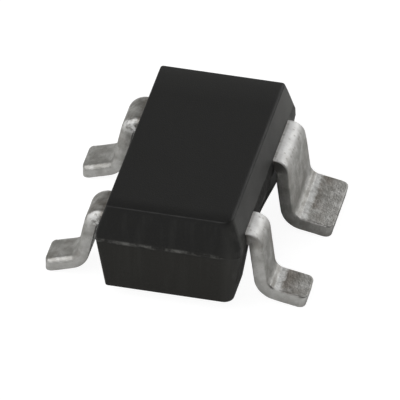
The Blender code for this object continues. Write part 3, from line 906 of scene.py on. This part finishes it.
def tin_material(colours, heel_end):
    """Matte tin over copper strip: dull patches, pits, rolling lines, sheared edges and stains, with painted
    highlights and painted shade.
    """
    made, tree, shader = new_material("matte_tin_plating", 1.0)
    place = attribute(tree, "blank_mm", "Vector")
    sheared = attribute(tree, "sheared")
    flat = calculated("SUBTRACT", 1.0, sheared)
    along, _, height = coordinates(place)
    shown = object_millimetres(tree)
    across, back, _ = coordinates(shown)
    right = ranged(across, *MIDDLE)
    left = calculated("SUBTRACT", 1.0, right)
    wide = product(right, ranged(back, *MIDDLE))
    narrow = calculated("SUBTRACT", 1.0, wide)
    # Dull and clean patches, tints, pits, a painted dark reflection past the heel and painted shade at the
    # roots
    clean = patches(place, *CLEAN)
    base = mixed(clean, (*colours.tin_dull, 1), (*colours.tin, 1))
    fine = patches(place, *MOTTLED)
    base = painted(base, colours.tin_dull, fine, share=0.30)
    past_heel = calculated("SUBTRACT", along, heel_end / MM)
    wavering = total(past_heel, (fine, WAVERING))
    # Painted dark reflection on the right feet just past the heel, with random brown tints
    beside_heel = between(wavering, DARK_REFLECTION_BEGINS, DARK_REFLECTION_ENDS)
    dark_reflection_and_tints = product(beside_heel, patches(place, *DARK_REFLECTION), right, flat, 0.60)
    dark_reflection_and_tints = larger(dark_reflection_and_tints, product(patches(place, *TINTS), 0.35))
    base = painted(base, colours.tarnish_and_shade, dark_reflection_and_tints)
    pits = specks(place, *PITS)
    base = painted(base, colours.tarnish_and_shade, pits, share=0.45)
    torn = product(sheared, ranged(height, *TORN_EDGE))
    base = painted(base, colours.tin_dull, torn, share=0.15)
    # Painted shade on the sheared faces where they leave the moulding
    base = painted(base, colours.shade_brown, product(sheared, ranged(along, *ROOT_SHADE)), share=0.8)
    # The roots: a painted highlight on the right, painted shade on the left
    cloud = patches(shown, *ROOT_CLOUDS)
    # Painted highlight on the right roots
    root = product(right, flat, ranged(along, *ROOT_HIGHLIGHT))
    base = painted(base, colours.painted_light, product(root, ranged(cloud, 0, 1, 0.70, 1.0)))
    speckled = product(specks(shown, *ROOT_SPECKS), ranged(along, *SPECKLED), flat)
    base = painted(base, colours.tarnish_and_shade, speckled, share=0.55)
    # Painted shade on the left roots, beside the moulding
    left_root_shade = product(left, flat, ranged(along, *LEFT_ROOT_SHADE), cloud)
    base = painted(base, colours.shade_brown, left_root_shade, share=0.40)
    # The bend above the foot, and the foot, with painted light on the sides and painted shade on the wide
    # lead
    ridge = product(ranged(past_heel, *RIDGE_BEGINS), ranged(wavering, *reversed(RIDGE_ENDS)))
    ridge = product(ridge, calculated("SUBTRACT", right, sheared))
    # A darker band on the right heel bends, just before the ridge
    dark = product(between(past_heel, DARK_BEGINS, DARK_ENDS), right, flat)
    base = painted(base, colours.shade_brown, dark, share=0.45)
    # Painted light on the side faces of the three narrow leads
    lit = product(ranged(sheared, *SHEARED_FACE), narrow, ranged(along, *SIDES_LIGHTEN, 0.05, 0.27))
    base = painted(base, colours.painted_light, lit)
    # The right feet darker past the ridge, and painted shade on the wide lead's sides round its heel
    foot = product(ranged(wavering, *RIDGE_ENDS), flat)
    edge = product(ranged(past_heel, *FOOT_EDGE), sheared, wide, 0.6)
    base = painted(base, colours.shade_brown, product(right, larger(foot, edge)), share=0.30)
    # Painted highlights on the left rims and on the ridge above the right feet
    rim = product(sheared, flat, left)
    painted_rim_highlight = product(between(along, RIM_HIGHLIGHT_BEGINS, RIM_HIGHLIGHT_ENDS), 0.85, ranged(rim, *HIGHLIGHTED_RIM))
    painted_rim_highlight = product(painted_rim_highlight, ranged(fine, 1.0, 0.3))
    base = painted(base, colours.painted_light, painted_rim_highlight)
    # Painted highlight on the right heel ridges
    base = painted(base, colours.painted_light, product(ridge, ranged(fine, 0, 1, 0.9, 0.3)))
    # A brown line where the leads leave the moulding: resin bleed, and partly painted shade in the joint
    base = painted(base, colours.tarnish_and_shade, ranged(along, *ROOT_LINE), share=0.30)
    tree.links.new(base, shader.inputs["Base Color"])
    # Under the painted highlights the tin is made nearly non-metallic, so the pale colour shows
    painted_highlights = larger(root, larger(ridge, painted_rim_highlight))
    tree.links.new(ranged(painted_highlights, 0, 1, 1.0, 0.15), shader.inputs["Metallic"])
    roughness = total(0.44, (clean, -0.08), (torn, 0.10), (dark_reflection_and_tints, 0.10), (rim, 0.35))
    tree.links.new(roughness, shader.inputs["Roughness"])
    sheared_lines = product(patches(place, *SHEAR_LINES), sheared)
    relief = total(patches(place, *TIN_GRAIN), (patches(place, *ROLLING_LINES), 0.25))
    relief = total(relief, (sheared_lines, 0.5), (fine, 1.2), (pits, -0.8))
    add_bump(tree, shader, relief, 0.0007 * MM)
    return made


# Finishes of the sealed pieces, by how their nodes' names begin: name, colour, darker colour,
# roughness, metallic and scale of the clouds
SEALED = {
    "silicon": ("polished_silicon", (0.17, 0.18, 0.21), (0.10, 0.11, 0.15), 0.25, 0.6, 20),
    "die": ("silver_filled_glue", (0.55, 0.54, 0.50), (0.38, 0.37, 0.34), 0.6, 0.4, 40),
    "bond": ("drawn_gold", (0.95, 0.70, 0.28), (0.84, 0.58, 0.20), 0.3, 1.0, 60),
}


def sealed_material(name, colour, darker, roughness, metallic, scale):
    """A sealed piece's finish: its own colour, clouded with a darker one, and a fine grain."""
    made, tree, shader = new_material(name, metallic)
    place = object_millimetres(tree)
    cloud = patches(place, scale, 0.4, 0.6, detail=3)
    tree.links.new(mixed(cloud, (*darker, 1), (*colour, 1)), shader.inputs["Base Color"])
    tree.links.new(ranged(cloud, 0, 1, roughness, 0.7 * roughness), shader.inputs["Roughness"])
    add_bump(tree, shader, patches(place, 4 * scale, 0.3, 0.7), 0.0003 * MM)
    return made


# Studio

FLOOR_REACH = 400 * MM
FLOOR_GREY = (0.5, 0.5, 0.5, 1)

# The lights: direction from the chip, distance, width and brightness
LIGHTS = {
    "key_light": ((-0.46, -0.50, 0.73), 0.25, 0.34, 1.75),
    "back_light": ((0.42, 0.76, 0.50), 0.25, 0.17, 1.55),
}

# Where the glows behind the chip begin and are full, back and up in a sphere of directions
GLOW_BACK = (0.25, 0.70)
GLOW_UP = (0.82, 0.67)
LOW_GLOW_UP = (0.60, 0.40)


def studio_floor(settings):
    """The pale floor. The camera sees it brighter, and the shadows on it fainter, than the chip does."""
    made, tree, shader = new_material("pale_floor", 0.0)
    shader.inputs["Roughness"].default_value = 0.7
    shader.inputs["Specular IOR Level"].default_value = 0.1
    shader.inputs["Emission Color"].default_value = (1, 1, 1, 1)
    seen = add_node(tree, "ShaderNodeLightPath").outputs["Is Camera Ray"]
    cloud = patches(object_millimetres(tree), 0.2, 0.3, 0.7)
    colour = mixed(product(cloud, 0.02), (*settings.floor_colour, 1), FLOOR_GREY)
    tree.links.new(painted(colour, settings.floor_seen, seen), shader.inputs["Base Color"])
    tree.links.new(product(seen, settings.floor_glow), shader.inputs["Emission Strength"])
    bm = bmesh.new()
    bmesh.ops.create_grid(bm, x_segments=8, y_segments=8, size=FLOOR_REACH)
    floor = new_object("floor", bm)
    floor.data.materials.append(made)
    floor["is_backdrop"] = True


def softbox(name, direction, distance, width, brightness):
    """A square light that faces the chip. Brightness is that of its face, where white is 1."""
    light = bpy.data.lights.new(name, "AREA")
    light.size = width
    light.energy = brightness * pi * width * width
    holder = bpy.data.objects.new(name, light)
    bpy.context.scene.collection.objects.link(holder)
    towards = Vector(direction).normalized()
    holder.location = towards * distance
    holder.rotation_euler = towards.to_track_quat("Z", "Y").to_euler()


def studio_world(settings):
    """A dim grey surround with a soft glow behind the chip."""
    world = bpy.data.worlds.new("surround")
    bpy.context.scene.world = world
    world.use_nodes = True
    tree = world.node_tree
    _, back, up = coordinates(add_node(tree, "ShaderNodeTexCoord").outputs["Generated"])
    glow = mixed(ranged(up, *LOW_GLOW_UP), (*settings.back_glow, 1), (*settings.low_glow, 1))
    behind = product(ranged(back, *GLOW_BACK), ranged(up, *GLOW_UP))
    colour = mixed(behind, (*settings.surround, 1), glow)
    tree.links.new(colour, tree.nodes["Background"].inputs["Color"])


def studio_camera(settings):
    across, up = cos(settings.elevation), sin(settings.elevation)
    back = Vector((sin(settings.azimuth) * across, -cos(settings.azimuth) * across, up))
    right = Vector((cos(settings.azimuth), sin(settings.azimuth), 0))
    place = back * settings.distance
    aim = right * settings.aim_right + back.cross(right) * settings.aim_up
    data = bpy.data.cameras.new("camera")
    data.sensor_width = 36
    data.lens = settings.lens
    data.clip_start = MM
    data.clip_end = 10
    camera = bpy.data.objects.new("camera", data)
    bpy.context.scene.collection.objects.link(camera)
    camera.location = place
    camera.rotation_euler = (place - aim).to_track_quat("Z", "Y").to_euler()
    bpy.context.scene.camera = camera


# Operators

class CHIP_OT_add_leads(bpy.types.Operator):
    """Builds the four tin-plated leads, bent from flat strip"""

    bl_idname = "chip.add_leads"
    bl_label = "Leads"

    def execute(self, context):
        sizes = context.scene.chip_leads
        half_width = BODY_HIGH.x - context.scene.chip_moulding.flash_depth
        heels = [heel_end(sizes, side, half_width) for side in (-1, 1)]
        tin = tin_material(context.scene.chip_finishes, sum(heels) / 2)
        for name, side in LEADS.items():
            outer = outer_stretch(name, side, sizes, half_width)
            inner = inner_stretch(name, side, half_width - 2 * JOIN)
            label = name.replace("lead", "plated_lead")
            add_piece(label, joined(outer, inner), tin, "matte_tin_plating", name)
        return {"FINISHED"}


class CHIP_OT_add_moulding(bpy.types.Operator):
    """Builds the black moulding, with pockets for all that it is cast round"""

    bl_idname = "chip.add_moulding"
    bl_label = "Moulding"

    def execute(self, context):
        sizes = context.scene.chip_moulding
        strip = context.scene.chip_leads.strip
        half_width = BODY_HIGH.x - sizes.flash_depth
        half_length = -BODY_LOW.y - sizes.flash_depth
        parting = STRIP_TOP - strip
        bm = moulding_block(sizes, half_width, half_length, parting)
        cuts_along(bm, 0, -half_width, half_width, BODY_CELL)
        cuts_along(bm, 1, -half_length, half_length, BODY_CELL)
        cuts_along(bm, 0, half_width - 6 * BODY_CELL, half_width, BODY_CELL / 3)
        cuts_along(bm, 1, -half_length, sizes.sag_width - half_length, BODY_CELL / 2)
        ease_top(bm, sizes, half_width, half_length, parting)
        hollow_side(bm, sizes, half_width, parting)
        mark_finish(bm)
        add_flash(bm, sizes, parting)
        add_gate(bm, sizes, half_length, parting)
        hidden = [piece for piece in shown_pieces() if piece.name != "mould_body"]
        cutters = [grown_copy(piece.data, CLEARANCE) for piece in hidden]
        bm = carved(bm, [*cutters, ejector_cutter(sizes)])
        compound = compound_material(context.scene.chip_finishes, sizes, parting)
        add_piece("moulding", bm, compound, "black_moulding_compound", "mould_body")
        return {"FINISHED"}


class CHIP_OT_finish_inside(bpy.types.Operator):
    """Gives the sealed die, its glue and the bond wires their finishes"""

    bl_idname = "chip.finish_inside"
    bl_label = "Die, glue and wires"

    def execute(self, context):
        for start, finish in SEALED.items():
            made = sealed_material(*finish)
            for name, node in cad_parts.items():
                if name.startswith(start):
                    node.data.materials.clear()
                    node.data.materials.append(made)
        return {"FINISHED"}


class CHIP_OT_add_studio(bpy.types.Operator):
    """Adds the pale floor, the soft lights, the grey surround and the camera"""

    bl_idname = "chip.add_studio"
    bl_label = "Studio"

    def execute(self, context):
        settings = context.scene.chip_studio
        context.scene.view_settings.view_transform = "Standard"
        studio_floor(settings)
        studio_world(settings)
        for name, placing in LIGHTS.items():
            softbox(name, *placing)
        studio_camera(settings)
        return {"FINISHED"}


class CHIP_PT_panel(bpy.types.Panel):
    """Lists the chip's pieces and its studio"""

    bl_idname = "CHIP_PT_panel"
    bl_label = "Voltage detector chip"
    bl_space_type = "VIEW_3D"
    bl_region_type = "UI"
    bl_category = "Chip"

    def draw(self, context):
        for operator in OPERATORS:
            self.layout.operator(operator.bl_idname)


OPERATORS = (CHIP_OT_add_leads, CHIP_OT_add_moulding, CHIP_OT_finish_inside, CHIP_OT_add_studio)
SETTINGS = {
    "chip_moulding": MouldingSizes,
    "chip_leads": LeadSizes,
    "chip_finishes": Finishes,
    "chip_studio": StudioSettings,
}
CLASSES = (*SETTINGS.values(), *OPERATORS, CHIP_PT_panel)


def register():
    for made in CLASSES:
        bpy.utils.register_class(made)
    for name, group in SETTINGS.items():
        setattr(bpy.types.Scene, name, PointerProperty(type=group))


def unregister():
    for name in SETTINGS:
        delattr(bpy.types.Scene, name)
    for made in reversed(CLASSES):
        bpy.utils.unregister_class(made)


def main():
    register()
    bpy.ops.chip.add_leads()
    bpy.ops.chip.add_moulding()
    bpy.ops.chip.finish_inside()
    bpy.ops.chip.add_studio()


if __name__ == "__main__":
    main()
